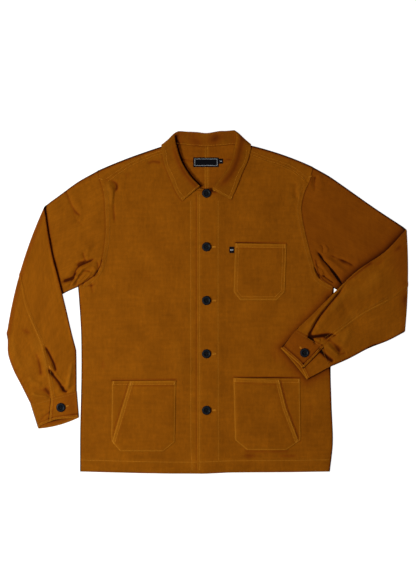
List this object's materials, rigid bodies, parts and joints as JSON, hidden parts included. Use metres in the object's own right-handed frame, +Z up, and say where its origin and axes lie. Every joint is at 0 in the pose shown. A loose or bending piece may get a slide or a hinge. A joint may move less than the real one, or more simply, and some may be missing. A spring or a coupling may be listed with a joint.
{
  "type": "chore jacket",
  "caption": "Buttoned cotton twill work jacket laid flat on its back, both sleeves folded over at the elbow, with a turned-down collar, button cuffs and patch pockets.",
  "frame": {"origin": "middle of the laid jacket's outline, on the surface that it lies on", "axes": "+X towards the wearer's left side, +Y towards the collar, +Z up from the surface"},
  "size_m": [0.9206, 0.783, 0.0168],
  "materials": {
    "cotton_twill": "matt diagonal weave with pale topstitching",
    "label_weave": "smooth dense weave",
    "button_resin": "dark polished resin"
  },
  "bodies": {
    "root": {"back_right": "cotton_twill", "back_left": "cotton_twill", "front_right": "cotton_twill", "front_left": "cotton_twill", "sleeve_right_top": "cotton_twill", "sleeve_right_under": "cotton_twill", "sleeve_left_top": "cotton_twill", "sleeve_left_under": "cotton_twill", "cuff_right": "cotton_twill", "cuff_left": "cotton_twill", "collar": "cotton_twill", "chest_pocket": "cotton_twill", "pocket_right_backing": "cotton_twill", "pocket_right_front": "cotton_twill", "pocket_left_backing": "cotton_twill", "pocket_left_front": "cotton_twill", "pocket_tab": "label_weave", "neck_label": "label_weave", "size_tag": "label_weave", "button_1": "button_resin", "button_2": "button_resin", "button_3": "button_resin", "button_4": "button_resin", "button_5": "button_resin", "button_cuff_right": "button_resin", "button_cuff_left": "button_resin"}
  },
  "joints": []
}
